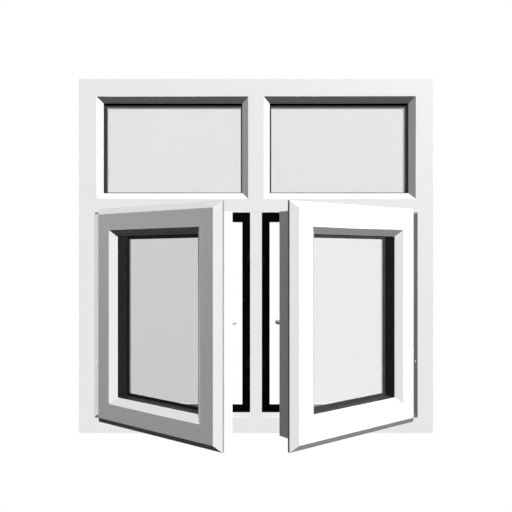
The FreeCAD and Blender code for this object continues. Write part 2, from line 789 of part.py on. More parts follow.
def keep_ends(offset):
    """Heights of a keep's two ends, past the cam's open and locked places."""
    reach = lock_travel / 2 + keep_end
    return (lock_middle + offset - reach, lock_middle + offset + reach)


def keep_screw_points(offset):
    low, high = keep_ends(offset)
    return [vec(opening_right - keep_base, lock_y, z)
            for z in (low + keep_screw_inset, high - keep_screw_inset)]


def keep(offset):
    """A keep on the mullion: a plate with a lip that the locked cam sits behind."""
    wall = opening_right
    low, high = keep_ends(offset)
    locked = lock_middle + offset + lock_travel / 2
    back = lock_y - cam_head_radius - keep_clearance
    front = back - keep_lip
    base = box(wall - keep_base, front, low, wall, front + keep_width, high)
    lip = box(wall - keep_lip_reach, front, locked - keep_lip_half_height, wall, back,
              locked + keep_lip_half_height)
    holes = [placed(screw(keep_screw_length, screw_clearance), point, vec(0, 1, 0), -90)
             for point in keep_screw_points(offset)]
    return cut_all(fuse_all([base, lip]), holes)


def keep_screws(offset):
    return [placed(screw(keep_screw_length), point, vec(0, 1, 0), -90)
            for point in keep_screw_points(offset)]


def keep_bores(offset):
    """The holes in the mullion and its steel for a keep's screws."""
    return [Part.makeCylinder(screw_radius + screw_clearance, keep_screw_length + keep_base,
                              point, vec(1, 0, 0)) for point in keep_screw_points(offset)]


# ---- Opening the left sash to its rest pose ----

def turned(point, centre, degrees):
    """A point (x, y) turned about a centre, anticlockwise seen from above."""
    angle = math.radians(degrees)
    dx = point[0] - centre[0]
    dy = point[1] - centre[1]
    return (centre[0] + dx * math.cos(angle) - dy * math.sin(angle),
            centre[1] + dx * math.sin(angle) + dy * math.cos(angle))


def moved(point, start, end):
    return (point[0] + end[0] - start[0], point[1] + end[1] - start[1])


support_closed = (support_x, track_y)
fixed_pivot = (fixed_x, track_y)
heel_closed = (heel_x, track_y)
shoe_closed = (shoe_x, track_y)
support_open = turned(support_closed, fixed_pivot, arm_ratio * open_angle)
heel_open = moved(turned(heel_closed, support_closed, -open_angle), support_closed,
                  support_open)
shoe_open = moved(turned(shoe_closed, heel_closed, rear_ratio * open_angle), heel_closed,
                  heel_open)


def swung(shape, pivot, degrees, end):
    """A copy turned about a closed pivot and carried to where that pivot is when open."""
    shape = shape.copy()
    shape.rotate(vec(pivot[0], pivot[1], 0), vec(0, 0, 1), degrees)
    shape.translate(vec(end[0] - pivot[0], end[1] - pivot[1], 0))
    return shape


def with_sash(shapes):
    return [swung(shape, support_closed, -open_angle, support_open) for shape in shapes]


def left_sash_nodes():
    """Every node of the left sash in its open pose, by name."""
    rails = sash_rails()
    arm_screws = [placed(screw(sash_screw_length), vec(x, track_y, sash_arm_z),
                         vec(1, 0, 0), 180) for x in sash_arm_screw_points()]
    arm_holes = [placed(screw(sash_screw_length, screw_clearance),
                        vec(x, track_y, sash_arm_z), vec(1, 0, 0), 180)
                 for x in sash_arm_screw_points()]
    inner_y = sash_plane + sash_depth + handle_base_depth
    handle_spots = [vec(lock_x(spindle_offset), inner_y, z) for z in handle_screw_points()]
    handle_screws = [placed(screw(sash_screw_length), spot, vec(1, 0, 0), -90)
                     for spot in handle_spots]
    handle_holes = [placed(screw(sash_screw_length, screw_clearance), spot, vec(1, 0, 0), -90)
                    for spot in handle_spots]
    both_holes = [hole for shape in arm_holes for hole in top_and_bottom(shape)]
    both_screws = [item for shape in arm_screws for item in top_and_bottom(shape)]
    inset = sash_face
    light = glazing(sash_left + inset, sash_bottom + inset, sash_right - inset,
                    sash_top - inset, sash_unit_front, sash_plane, sash_leg_height,
                    sash_gasket_sight)
    steels = [cut_all(tube, both_holes + handle_holes) for tube in sash_steels()]
    nodes = {"top_rail": [cut_all(rails["top"], both_holes)],
             "bottom_rail": [cut_all(rails["bottom"], both_holes)],
             "hinge_stile": [rails["left"]],
             "lock_stile": [cut_all(rails["right"], [stile_pocket()] + handle_holes)],
             "sash_steels": steels, "flange_seal": [flange_seal()],
             "sash_arms": top_and_bottom(sash_arm()),
             "sash_screws": both_screws + handle_screws,
             "lock_case": [faceplate(), gearbox_case()], "drive_bar": [drive_bar()],
             "handle_base": [handle_base()], "handle": [handle_lever(), spindle()]}
    for name in ("outer_pane", "inner_pane", "spacer", "beads", "gaskets", "packers"):
        nodes["sash_" + name] = light[name]
    nodes = {name: with_sash(shapes) for name, shapes in nodes.items()}
    support = arm(support_x, fixed_x, support_arm_width)
    support.rotate(vec(fixed_x, track_y, 0), vec(0, 0, 1), arm_ratio * open_angle)
    rear = swung(arm(heel_x, shoe_x, rear_arm_width), heel_closed, rear_ratio * open_angle,
                 heel_open)
    nodes["support_arms"] = top_and_bottom(support)
    nodes["rear_arms"] = top_and_bottom(rear)
    nodes["shoes"] = top_and_bottom(swung(shoe(), shoe_closed, 0, shoe_open))
    return nodes


def both_sides(shapes):
    return list(shapes) + [mirrored_x(shape) for shape in shapes]


def all_nodes():
    nodes = {name: [shape] for name, shape in frame_members().items()}
    top = floor_z + track_base
    points = [vec(x, track_y, top) for x in track_screw_points()]
    track_screws = [placed(screw(frame_screw_length), point) for point in points]
    track_holes = [placed(screw(frame_screw_length, screw_clearance), point)
                   for point in points]
    track_holes = both_sides([hole for shape in track_holes for hole in top_and_bottom(shape)])
    bores = both_sides([bore for offset in cam_offsets for bore in keep_bores(offset)])
    for name in ("frame_sill", "transom"):
        nodes[name] = [cut_all(nodes[name][0], track_holes)]
    nodes["lower_mullion"] = [cut_all(nodes["lower_mullion"][0], bores)]
    nodes["frame_steels"] = [cut_all(tube, track_holes + bores) for tube in frame_steels()]
    for name, shapes in fixed_lights().items():
        nodes["fixed_" + name] = shapes
    nodes["rebate_seals"] = both_sides([rebate_seal()])
    nodes["stay_tracks"] = both_sides(top_and_bottom(stay_track()))
    nodes["keeps"] = both_sides([keep(offset) for offset in cam_offsets])
    screws = [item for shape in track_screws for item in top_and_bottom(shape)]
    screws += [item for offset in cam_offsets for item in keep_screws(offset)]
    nodes["frame_screws"] = both_sides(screws)
    for name, shapes in left_sash_nodes().items():
        nodes["left_" + name] = shapes
        nodes["right_" + name] = [mirrored_x(shape) for shape in shapes]
    return nodes


os.makedirs("parts", exist_ok=True)
for node_name, node_shapes in all_nodes().items():
    shape = node_shapes[0] if len(node_shapes) == 1 else Part.makeCompound(node_shapes)
    shape.exportStep("parts/" + node_name + ".step")
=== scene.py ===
import json
import math

import bmesh
import bpy
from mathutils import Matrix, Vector


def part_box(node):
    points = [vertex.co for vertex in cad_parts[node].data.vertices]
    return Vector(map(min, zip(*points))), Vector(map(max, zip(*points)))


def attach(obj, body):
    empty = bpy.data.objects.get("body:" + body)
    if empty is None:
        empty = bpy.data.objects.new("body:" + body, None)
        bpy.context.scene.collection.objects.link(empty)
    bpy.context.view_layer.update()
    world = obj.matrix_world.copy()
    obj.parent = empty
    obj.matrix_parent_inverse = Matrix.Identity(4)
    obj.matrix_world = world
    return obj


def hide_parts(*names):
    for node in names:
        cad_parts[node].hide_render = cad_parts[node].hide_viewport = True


bl_info = {
    "name": "Casement window finishes",
    "version": (1, 0, 0),
    "blender": (4, 5, 0),
    "location": "3D View > Sidebar > Casement",
    "description": "Shapes and finishes the pieces of a plastic casement window",
    "category": "Object",
}

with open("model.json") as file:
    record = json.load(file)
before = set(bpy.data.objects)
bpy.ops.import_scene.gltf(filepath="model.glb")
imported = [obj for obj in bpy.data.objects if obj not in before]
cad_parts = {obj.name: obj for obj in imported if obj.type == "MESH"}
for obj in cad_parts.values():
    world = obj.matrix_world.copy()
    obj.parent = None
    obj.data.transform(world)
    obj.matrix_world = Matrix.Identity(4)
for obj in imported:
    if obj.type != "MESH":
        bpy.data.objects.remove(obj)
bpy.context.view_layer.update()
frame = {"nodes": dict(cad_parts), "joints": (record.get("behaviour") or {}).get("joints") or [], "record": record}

SASHES = ("left", "right")
WELD_DISTANCE = 1e-5    # points nearer than this are one point
FLAT_ANGLE = math.radians(0.5)
SHARP_ANGLE = math.radians(30)
END_FACING = 0.6        # least cosine between a mitred or square end and its length
TIP_FACING = 0.99       # the same between the flange's tip wall and the way across
SIDE_FACING = 0.3       # greatest cosine between a profile's side wall and its face
EDGE_BREAK = 0.0008     # finest chamfer of the profiles
# painted light and shade of the gaskets: their colour and bloom are painted darker on the left sash and lighter on
# the right sash and the frame, by where they sit
GASKET_LIGHT_AND_SHADE = {"left": 0.35, "right": 1.2, "frame": 1.3}
UP = Vector((0, 0, 1))

SPECULAR = 0.9          # gloss of plastic and glass
PLASTIC_SPREAD = 0.03   # how far the roughness varies along the plastic
METAL_SPREAD = 0.08     # and along drawn metal
WHITE = (1.0, 1.0, 1.0, 1.0)
STREAK_STRETCH = 90.0   # streaks of the extrusion: how fine across their length
STREAK_LENGTH = 1.5     # and along it
PAINTED_SHEEN_FROM = 0.65      # height where the panes begin to be painted lighter: a painted highlight, lighter towards the top
PAINTED_SHEEN_TO = 0.96
PAINTED_SHEEN_SHARE = 0.75

KEY_FROM, KEY_ANGLE = (0.525, -0.598, 0.604), math.radians(20)
RIM_FROM, RIM_ANGLE = (-0.98, 0.02, 0.20), math.radians(30)
BACK_FROM, BACK_ANGLE = (0.0, 0.94, 0.34), math.radians(40)
SENSOR_WIDTH = 36
SIGHT_LIMIT = 200
FLOOR_SIDES = 96
FLOOR_DROP = 0.0005


# ---- Settings ----

class PlasticSettings(bpy.types.PropertyGroup):
    """White plastic of the frame, the sashes and the glazing beads."""

    colour: bpy.props.FloatVectorProperty(
        name="Colour", description="Colour of the plastic where it is clean and bright",
        subtype="COLOR", default=(0.80, 0.822, 0.80), min=0, max=1)
    shade: bpy.props.FloatVectorProperty(
        name="Shade", description="Colour of the faint streaks along the extrusion",
        subtype="COLOR", default=(0.775, 0.795, 0.774), min=0, max=1)
    lip: bpy.props.FloatVectorProperty(
        name="Lip", description="Colour of the grey sealing lip on the flange's tip",
        subtype="COLOR", default=(0.33, 0.335, 0.33), min=0, max=1)
    arris: bpy.props.FloatProperty(
        name="Arris radius", description="Rounding of the profiles' long corners",
        unit="LENGTH", default=0.0006, min=0)
    weld: bpy.props.FloatProperty(
        name="Weld groove", description="Half width of the fine groove at a welded corner",
        unit="LENGTH", default=0.00012, min=0)
    roughness: bpy.props.FloatProperty(
        name="Roughness", description="Roughness of the skin of the plastic",
        subtype="FACTOR", default=0.46, min=0, max=1)


class GlassSettings(bpy.types.PropertyGroup):
    """Panes of the sealed units and the bars between them."""

    colour: bpy.props.FloatVectorProperty(
        name="Colour", description="Pale cast of the glass",
        subtype="COLOR", default=(0.515, 0.515, 0.515), min=0, max=1)
    cover: bpy.props.FloatProperty(
        name="Cover", description="How much each surface of a pane covers what is behind it",
        subtype="FACTOR", default=0.163, min=0, max=1)
    spacer: bpy.props.FloatVectorProperty(
        name="Spacer", description="Colour of the spacer bar",
        subtype="COLOR", default=(0.02, 0.021, 0.022), min=0, max=1)


class SealSettings(bpy.types.PropertyGroup):
    """Black seals and gaskets."""

    colour: bpy.props.FloatVectorProperty(
        name="Gasket colour", description="Colour of the rubber round the glass",
        subtype="COLOR", default=(0.030, 0.031, 0.031), min=0, max=1)
    deep: bpy.props.FloatVectorProperty(
        name="Seal colour", description="Colour of the foam seals round the sashes",
        subtype="COLOR", default=(0.0008, 0.0008, 0.0008), min=0, max=1)
    dust: bpy.props.FloatVectorProperty(
        name="Dust", description="Colour of the dry bloom on the gaskets",
        subtype="COLOR", default=(0.042, 0.043, 0.043), min=0, max=1)
    rounding: bpy.props.FloatProperty(
        name="Rounding", description="Rounding of the seals' corners",
        unit="LENGTH", default=0.0004, min=0)


class HardwareSettings(bpy.types.PropertyGroup):
    """Stays, locks, screws and the steel inside the profiles."""

    stainless: bpy.props.FloatVectorProperty(
        name="Stainless steel", description="Colour of the stays and the lock",
        subtype="COLOR", default=(0.62, 0.62, 0.60), min=0, max=1)
    galvanised: bpy.props.FloatVectorProperty(
        name="Galvanised steel", description="Colour of the steel inside the profiles",
        subtype="COLOR", default=(0.55, 0.57, 0.58), min=0, max=1)
    brass: bpy.props.FloatVectorProperty(
        name="Brass", description="Colour of the sliding shoes",
        subtype="COLOR", default=(0.70, 0.55, 0.25), min=0, max=1)
    coating: bpy.props.FloatVectorProperty(
        name="Coating", description="Colour of the black coated keeps",
        subtype="COLOR", default=(0.0015, 0.0015, 0.0015), min=0, max=1)
    packer: bpy.props.FloatVectorProperty(
        name="Packers", description="Colour of the glazing packers",
        subtype="COLOR", default=(0.10, 0.25, 0.50), min=0, max=1)
    edge: bpy.props.FloatProperty(
        name="Edge", description="Rounding of the pressed metal's edges",
        unit="LENGTH", default=0.0003, min=0)


class HandleSettings(bpy.types.PropertyGroup):
    """Lever handles on the indoor side of the sashes."""

    colour: bpy.props.FloatVectorProperty(
        name="Colour", description="Colour of the powder coating",
        subtype="COLOR", default=(0.80, 0.81, 0.80), min=0, max=1)
    edge: bpy.props.FloatProperty(
        name="Edge", description="Rounding of the handle's edges",
        unit="LENGTH", default=0.0012, min=0)


class StageSettings(bpy.types.PropertyGroup):
    """Floor, lights and camera."""

    lens: bpy.props.FloatProperty(
        name="Lens", description="Focal length of the camera",
        unit="CAMERA", default=43.94, min=1)
    distance: bpy.props.FloatProperty(
        name="Camera distance", description="From the camera to the window's outer face",
        unit="LENGTH", default=1.7646, min=0.1)
    floor: bpy.props.FloatProperty(
        name="Floor", description="Radius of the floor",
        unit="LENGTH", default=30.0, min=1)
    key: bpy.props.FloatProperty(
        name="Key light", description="Strength of the light from the front",
        default=5.45, min=0)
    rim: bpy.props.FloatProperty(
        name="Rim light", description="Strength of the light from the left and behind",
        default=0.52, min=0)
    back: bpy.props.FloatProperty(
        name="Back light", description="Strength of the light from indoors",
        default=1.2, min=0)
    ambient: bpy.props.FloatProperty(
        name="Ambient", description="Brightness of the room in the dark places",
        default=0.002, min=0)


# ---- Directions of the frame and the sashes ----

def outward(side):
    """The way a sash, or the frame, faces: out of the room."""
    if side not in SASHES:
        return Vector((0, -1, 0))
    turn = next(j for j in frame["joints"] if j["name"] == side + "_handle_turn")
    axis = Vector(turn["axis"])
    if axis.y > 0:
        axis.negate()
    return axis.normalized()


def along(side):
    """The level direction in the plane of a sash, or of the frame."""
    return UP.cross(outward(side)).normalized()


def side_of(node):
    """The sash that a node's name says it belongs to, or the frame."""
    first = node.split("_")[0]
    return first if first in SASHES else "frame"


def nodes_ending(*endings):
    """The CAD nodes whose names end so, in order."""
    return [n for n in sorted(frame["nodes"]) if n.endswith(endings)]


def body_of(node):
    """The CAD body that holds a node."""
    bodies = frame["record"]["behaviour"]["bodies"]
    return next(body for body, members in bodies.items() if node in members)


# ---- Mesh work ----

def islands(bm):
    """The faces of a mesh, in groups that hang together."""
    left = set(bm.faces)
    groups = []
    for seed in bm.faces:
        if seed not in left:
            continue
        left.discard(seed)
        group, edge_of_search = [], [seed]
        while edge_of_search:
            face = edge_of_search.pop()
            group.append(face)
            for edge in face.edges:
                for other in edge.link_faces:
                    if other in left:
                        left.discard(other)
                        edge_of_search.append(other)
        groups.append(group)
    return groups


def welded(node):
    """A CAD node's mesh with its loose triangles merged and its flat faces joined."""
    bm = bmesh.new()
    bm.from_mesh(frame["nodes"][node].data)
    bmesh.ops.remove_doubles(bm, verts=bm.verts, dist=WELD_DISTANCE)
    bmesh.ops.dissolve_limit(bm, angle_limit=FLAT_ANGLE, verts=bm.verts, edges=bm.edges)
    bmesh.ops.recalc_face_normals(bm, faces=bm.faces)
    return bm


def new_piece(bm, name, materials, body, nodes):
    """An object from a bmesh that stands for CAD nodes and rides on their body."""
    mesh = bpy.data.meshes.new(name)
    bm.to_mesh(mesh)
    bm.free()
    for attribute in ("custom_normal", "sharp_face", "sharp_edge"):
        if attribute in mesh.attributes:
            mesh.attributes.remove(mesh.attributes[attribute])
    mesh.shade_smooth()
    mesh.set_sharp_from_angle(angle=SHARP_ANGLE)
    for material in materials:
        mesh.materials.append(material)
    piece = bpy.data.objects.new(name, mesh)
    bpy.context.scene.collection.objects.link(piece)
    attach(piece, body)
    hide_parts(*nodes)
    return piece


def ease_edges(piece, width, segments=2, by_weight=False):
    """Rounds a piece's sharp edges, or the ones its mesh gives a weight.

    The flat faces keep their own normals, so the light changes only on the rounding.
    """
    bevel = piece.modifiers.new("Eased edges", "BEVEL")
    bevel.width = width
    bevel.segments = segments
    bevel.profile = 0.5
    bevel.limit_method = "WEIGHT" if by_weight else "ANGLE"
    bevel.angle_limit = SHARP_ANGLE
    bevel.use_clamp_overlap = True
    bevel.material = -1
    flat = piece.modifiers.new("Flat faces", "WEIGHTED_NORMAL")
    flat.mode = "FACE_AREA"
    flat.weight = 100
    flat.keep_sharp = True


def face_depth(bm, way):
    """How far a point lies behind the foremost face, as a function."""
    front = max(v.co.dot(way) for v in bm.verts)
    return lambda point: front - point.dot(way)


def square_corners(bm, depth, way):
    """Moves the profile's finest chamfers forward, flush with its face."""
    for vert in bm.verts:
        behind = depth(vert.co)
        if abs(behind - EDGE_BREAK) < EDGE_BREAK / 4:
            vert.co += way * behind
    bmesh.ops.remove_doubles(bm, verts=bm.verts, dist=WELD_DISTANCE)
    bmesh.ops.dissolve_limit(bm, angle_limit=FLAT_ANGLE, verts=bm.verts, edges=bm.edges)


def beside_bead(edge, depth, way):
    """True for a square corner of the face, which a glazing bead stands flush against."""
    if max(depth(v.co) for v in edge.verts) > EDGE_BREAK:
        return False
    return min(abs(face.normal.dot(way)) for face in edge.link_faces) < SIDE_FACING


def eased_profile(node, materials, arris, joint):
    """A profile with rounded arrises and fine grooves where it meets its neighbours.

    The first material runs level and the second upright, so the streaks of the
    extrusion follow each length.  A third, where there is one, is the seal along the
    tip of the sash's flange.
    """
    side = side_of(node)
    level = along(side)
    way = outward(side)
    bm = welded(node)
    depth = face_depth(bm, way)
    square_corners(bm, depth, way)
    weight = bm.edges.layers.float.new("bevel_weight_edge")
    for group in islands(bm):
        points = [v.co for face in group for v in face.verts]
        spans = []
        for direction in (level, UP):
            reach = [p.dot(direction) for p in points]
            spans.append(max(reach) - min(reach))
        upright = spans[1] > spans[0]
        run = UP if upright else level
        for face in group:
            face.material_index = int(upright)
        for edge in {e for face in group for e in face.edges}:
            if len(edge.link_faces) != 2 or edge.calc_face_angle(0) < SHARP_ANGLE:
                continue
            at_joint = any(abs(f.normal.dot(run)) > END_FACING for f in edge.link_faces)
            fine = at_joint or beside_bead(edge, depth, way)
            edge[weight] = joint / arris if fine else 1.0
    if len(materials) > 2:
        finish_flange_tip(bm, level)
    piece = new_piece(bm, node + "_profile", materials, body_of(node), [node])
    ease_edges(piece, arris, by_weight=True)
    return piece


def finish_flange_tip(bm, level):
    """Gives the outermost wall of a rail or a stile the third material."""
    across = [v.co.dot(level) for v in bm.verts]
    height = [v.co.z for v in bm.verts]
    ends = ((level, min(across), max(across)), (UP, min(height), max(height)))
    for face in bm.faces:
        for direction, low, high in ends:
            place = face.calc_center_median().dot(direction)
            off_tip = min(abs(place - low), abs(place - high))
            if abs(face.normal.dot(direction)) > TIP_FACING and off_tip < WELD_DISTANCE:
                face.material_index = 2


# ---- Materials ----

def node_in(material, kind, inputs=None, **settings):
    """A node with its settings, and its inputs set or linked."""
    made = material.node_tree.nodes.new(kind)
    for key, value in settings.items():
        setattr(made, key, value)
    for key, value in (inputs or {}).items():
        if isinstance(value, bpy.types.NodeSocket):
            material.node_tree.links.new(value, made.inputs[key])
        else:
            made.inputs[key].default_value = value
    return made


def new_material(name):
    """An empty node material."""
    material = bpy.data.materials.new(name)
    material.use_nodes = True
    material.node_tree.nodes.clear()
    return material


def close_material(material, shader):
    """Ends a material with its shader."""
    output = node_in(material, "ShaderNodeOutputMaterial")
    material.node_tree.links.new(shader.outputs[0], output.inputs["Surface"])
    return material


def coordinates(material, scale=(1, 1, 1), turn=0.0):
    """Object coordinates, turned about the vertical and then stretched."""
    source = node_in(material, "ShaderNodeTexCoord")
    turned = node_in(material, "ShaderNodeVectorRotate",
                     {"Vector": source.outputs["Object"], "Angle": turn},
                     rotation_type="Z_AXIS")
    stretched = node_in(material, "ShaderNodeVectorMath",
                        {0: turned.outputs[0], 1: scale}, operation="MULTIPLY")
    return stretched.outputs[0]


def noise(material, vector, scale, detail=2.0, roughness=0.5):
    """A cloudy value between 0 and 1."""
    made = node_in(material, "ShaderNodeTexNoise", {
        "Vector": vector, "Scale": scale, "Detail": detail, "Roughness": roughness})
    return made.outputs["Fac"]


def remap(material, value, low, high, out_low, out_high):
    """A value carried from one range to another."""
    made = node_in(material, "ShaderNodeMapRange", {
        "Value": value, "From Min": low, "From Max": high, "To Min": out_low,
        "To Max": out_high})
    return made.outputs["Result"]


def mixed(material, factor, first, second):
    """A colour between two, by a factor."""
    made = node_in(material, "ShaderNodeMix", {0: factor, 6: first, 7: second},
                   data_type="RGBA")
    return made.outputs[2]


def bumped(material, height, distance, strength):
    """A normal that a height raises."""
    made = node_in(material, "ShaderNodeBump", {
        "Height": height, "Distance": distance, "Strength": strength})
    return made.outputs["Normal"]


def roughened(material, value, low, high):
    """A roughness between two, from the middle of a cloudy value."""
    return remap(material, value, 0.3, 0.7, low, high)


def opaque(colour, share=1.0):
    """A colour, or a share of it, with full cover."""
    return (*[part * share for part in colour], 1.0)


def white_plastic(name, settings, turn=0.0, upright=False):
    """Extruded plastic: faint streaks along its length and a soft, even skin."""
    material = new_material(name)
    across = STREAK_STRETCH
    stretch = (across, across, STREAK_LENGTH) if upright else (STREAK_LENGTH, across, across)
    drawn = noise(material, coordinates(material, stretch, turn), scale=1.0, detail=3.0)
    clouds = noise(material, coordinates(material), scale=7.0)
    skin = noise(material, coordinates(material), scale=900.0)
    streaks = remap(material, drawn, 0.35, 0.75, 0.0, 1.0)
    tint = node_in(material, "ShaderNodeMath", {0: streaks, 1: clouds}, operation="MULTIPLY")
    colour = mixed(material, tint.outputs[0], opaque(settings.colour), opaque(settings.shade))
    rough = roughened(material, drawn, settings.roughness - PLASTIC_SPREAD,
                      settings.roughness + PLASTIC_SPREAD)
    shader = node_in(material, "ShaderNodeBsdfPrincipled", {
        "Base Color": colour, "Roughness": rough, "Specular IOR Level": SPECULAR,
        "Normal": bumped(material, skin, distance=0.00002, strength=0.35)})
    return close_material(material, shader)


def clear_glass(settings):
    """Float glass with a pale cast, the faintest film on it, and a painted highlight that makes it lighter towards
    the top.
    """
    material = new_material("Clear glass")
    film = noise(material, coordinates(material), scale=5.0, detail=3.0)
    height = node_in(material, "ShaderNodeSeparateXYZ", {0: coordinates(material)})
    # painted highlight: the pane is painted lighter towards the top; the film adds a random change of tone on top
    # of it
    painted_sheen = remap(material, height.outputs["Z"], PAINTED_SHEEN_FROM, PAINTED_SHEEN_TO, 0.0, PAINTED_SHEEN_SHARE)
    share = node_in(material, "ShaderNodeMath", {0: painted_sheen, 1: film}, operation="ADD")
    colour = mixed(material, share.outputs[0], opaque(settings.colour),
                   opaque(settings.colour, 1.06))
    rough = roughened(material, film, 0.42, 0.48)
    shader = node_in(material, "ShaderNodeBsdfPrincipled", {
        "Base Color": colour, "Roughness": rough, "Specular IOR Level": SPECULAR,
        "Alpha": settings.cover})
    material.surface_render_method = "BLENDED"
    return close_material(material, shader)


def matt_rubber(name, colour, dust, specular):
    """Black or grey matt rubber with a dry bloom and fine grain."""
    material = new_material(name)
    bloom_and_shade = noise(material, coordinates(material), scale=45.0, detail=4.0, roughness=0.6)
    grain = noise(material, coordinates(material), scale=1600.0)
    tone = mixed(material, remap(material, bloom_and_shade, 0.4, 0.7, 0.0, 1.0), opaque(colour),
                 opaque(dust))
    rough = roughened(material, bloom_and_shade, 0.5, 0.66)
    shader = node_in(material, "ShaderNodeBsdfPrincipled", {
        "Base Color": tone, "Roughness": rough, "Specular IOR Level": specular,
        "Normal": bumped(material, grain, distance=0.00004, strength=0.6)})
    return close_material(material, shader)


def spacer_bar(settings):
    """Dark spacer bar with its rows of fine breathing holes, painted darker inside as painted shade."""
    material = new_material("Spacer bar")
    holes = node_in(material, "ShaderNodeTexVoronoi", {
        "Vector": coordinates(material), "Scale": 330.0, "Randomness": 0.0})
    pit = remap(material, holes.outputs["Distance"], 0.12, 0.2, 0.0, 1.0)
    # painted shade: the holes are painted nearly black, as shade would fall inside them
    colour = mixed(material, pit, (0.004, 0.004, 0.004, 1.0), opaque(settings.spacer))
    shader = node_in(material, "ShaderNodeBsdfPrincipled", {
        "Base Color": colour, "Roughness": 0.5,
        "Normal": bumped(material, pit, distance=0.0002, strength=0.5)})
    return close_material(material, shader)


def brushed_metal(name, colour, roughness, stretch):
    """Drawn metal: brushed along its length."""
    material = new_material(name)
    brushed = noise(material, coordinates(material, stretch), scale=1.0, detail=3.0,
                    roughness=0.6)
    stains = noise(material, coordinates(material), scale=30.0, detail=3.0)
    tone = mixed(material, remap(material, stains, 0.35, 0.7, 0.0, 1.0), opaque(colour),
                 opaque(colour, 0.82))
    rough = roughened(material, brushed, roughness - METAL_SPREAD, roughness + METAL_SPREAD)
    shader = node_in(material, "ShaderNodeBsdfPrincipled", {
        "Base Color": tone, "Roughness": rough, "Metallic": 0.85,
        "Normal": bumped(material, brushed, distance=0.00002, strength=0.5)})
    return close_material(material, shader)


def galvanised_steel(settings):
    """Zinc-coated steel with its spangle."""
    material = new_material("Galvanised steel")
    spangle = node_in(material, "ShaderNodeTexVoronoi", {
        "Vector": coordinates(material), "Scale": 120.0})
    value = node_in(material, "ShaderNodeSeparateColor",
                    {"Color": spangle.outputs["Color"]}).outputs[0]
    colour = mixed(material, value, opaque(settings.galvanised, 0.8),
                   opaque(settings.galvanised))
    shader = node_in(material, "ShaderNodeBsdfPrincipled", {
        "Base Color": colour, "Roughness": remap(material, value, 0.0, 1.0, 0.35, 0.55),
        "Metallic": 0.8})
    return close_material(material, shader)


def coated_steel(settings):
    """Steel with a matt black coating, fine-grained."""
    material = new_material("Black coated steel")
    grain = noise(material, coordinates(material), scale=700.0)
    colour = mixed(material, grain, opaque(settings.coating),
                   opaque(settings.coating, 1.6))
    shader = node_in(material, "ShaderNodeBsdfPrincipled", {
        "Base Color": colour, "Roughness": roughened(material, grain, 0.6, 0.72),
        "Specular IOR Level": 0.1,
        "Normal": bumped(material, grain, distance=0.00003, strength=0.4)})
    return close_material(material, shader)


def moulded_packer(settings):
    """Moulded plastic with a ribbed face, painted darker in the grooves between the ribs as painted shade."""
    material = new_material("Moulded packer")
    ribs = node_in(material, "ShaderNodeTexWave", {
        "Vector": coordinates(material), "Scale": 160.0, "Distortion": 0.0})
    # painted shade: the colour goes darker where the ribbed bump is low, in the grooves
    colour = mixed(material, ribs.outputs["Fac"], opaque(settings.packer, 0.7),
                   opaque(settings.packer))
    shader = node_in(material, "ShaderNodeBsdfPrincipled", {
        "Base Color": colour, "Roughness": 0.55,
        "Normal": bumped(material, ribs.outputs["Fac"], distance=0.0004, strength=0.6)})
    return close_material(material, shader)


def powder_coat(settings):
    """Powder coating: a fine orange-peel skin, a touch rougher on its bumps, with a faint cloudy change of tone.
    """
    material = new_material("Powder coat")
    peel = noise(material, coordinates(material), scale=420.0)
    clouds = noise(material, coordinates(material), scale=25.0)
    colour = mixed(material, clouds, opaque(settings.colour),
                   opaque(settings.colour, 0.96))
    shader = node_in(material, "ShaderNodeBsdfPrincipled", {
        "Base Color": colour, "Roughness": roughened(material, peel, 0.3, 0.4),
        "Normal": bumped(material, peel, distance=0.00006, strength=0.5)})
    return close_material(material, shader)


def rounded_nodes(nodes, suffix, material, width, segments=2):
    """Pieces for CAD nodes, of their own shape with rounded edges and one finish."""
    for node in nodes:
        piece = new_piece(welded(node), node + suffix, [material], body_of(node), [node])
        ease_edges(piece, width, segments)


def finish_node(node, material):
    """Gives a CAD node its finish, and leaves its shape as it is."""
    mesh = frame["nodes"][node].data
    mesh.materials.clear()
    mesh.materials.append(material)


# ---- Operators ----

class WINDOW_OT_frame_profiles(bpy.types.Operator):
    """Rounds and finishes the outer frame, the transom, the mullions and the beads"""

    bl_idname = "window.frame_profiles"
    bl_label = "Frame profiles"

    def execute(self, context):
        plastic = context.scene.window_plastic
        materials = [white_plastic("White plastic, level", plastic),
                     white_plastic("White plastic, upright", plastic, upright=True)]
        nodes = nodes_ending("frame_head", "frame_sill", "_jamb", "transom", "mullion",
                             "fixed_beads")
        if not nodes:
            raise RuntimeError("the frame has no profiles")
        for node in nodes:
            eased_profile(node, materials, plastic.arris, plastic.weld)
        return {"FINISHED"}


class WINDOW_OT_sash_profiles(bpy.types.Operator):
    """Rounds and finishes the sashes' rails, stiles and beads"""

    bl_idname = "window.sash_profiles"
    bl_label = "Sash profiles"

    def execute(self, context):
        plastic = context.scene.window_plastic
        upright = white_plastic("White plastic, stiles", plastic, upright=True)
        tip = matt_rubber("Grey lip rubber", plastic.lip, [c * 1.1 for c in plastic.lip],
                          specular=0.3)
        for side in SASHES:
            way = along(side)
            level = white_plastic(f"White plastic, {side} rails", plastic,
                                  turn=-math.atan2(way.y, way.x))
            for part in ("_top_rail", "_bottom_rail", "_hinge_stile", "_lock_stile"):
                eased_profile(side + part, [level, upright, tip], plastic.arris,
                              plastic.weld)
            eased_profile(side + "_sash_beads", [level, upright], plastic.arris,
                          plastic.weld)
        return {"FINISHED"}


class WINDOW_OT_glass(bpy.types.Operator):
    """Finishes the panes, the spacer bars and the packers under the glass"""

    bl_idname = "window.glass"
    bl_label = "Glass units"

    def execute(self, context):
        settings = context.scene.window_glass
        glass = clear_glass(settings)
        spacer = spacer_bar(settings)
        packer = moulded_packer(context.scene.window_hardware)
        for node in nodes_ending("_pane"):
            finish_node(node, glass)
        for node in nodes_ending("_spacer"):
            finish_node(node, spacer)
        for node in nodes_ending("_packers"):
            finish_node(node, packer)
        return {"FINISHED"}


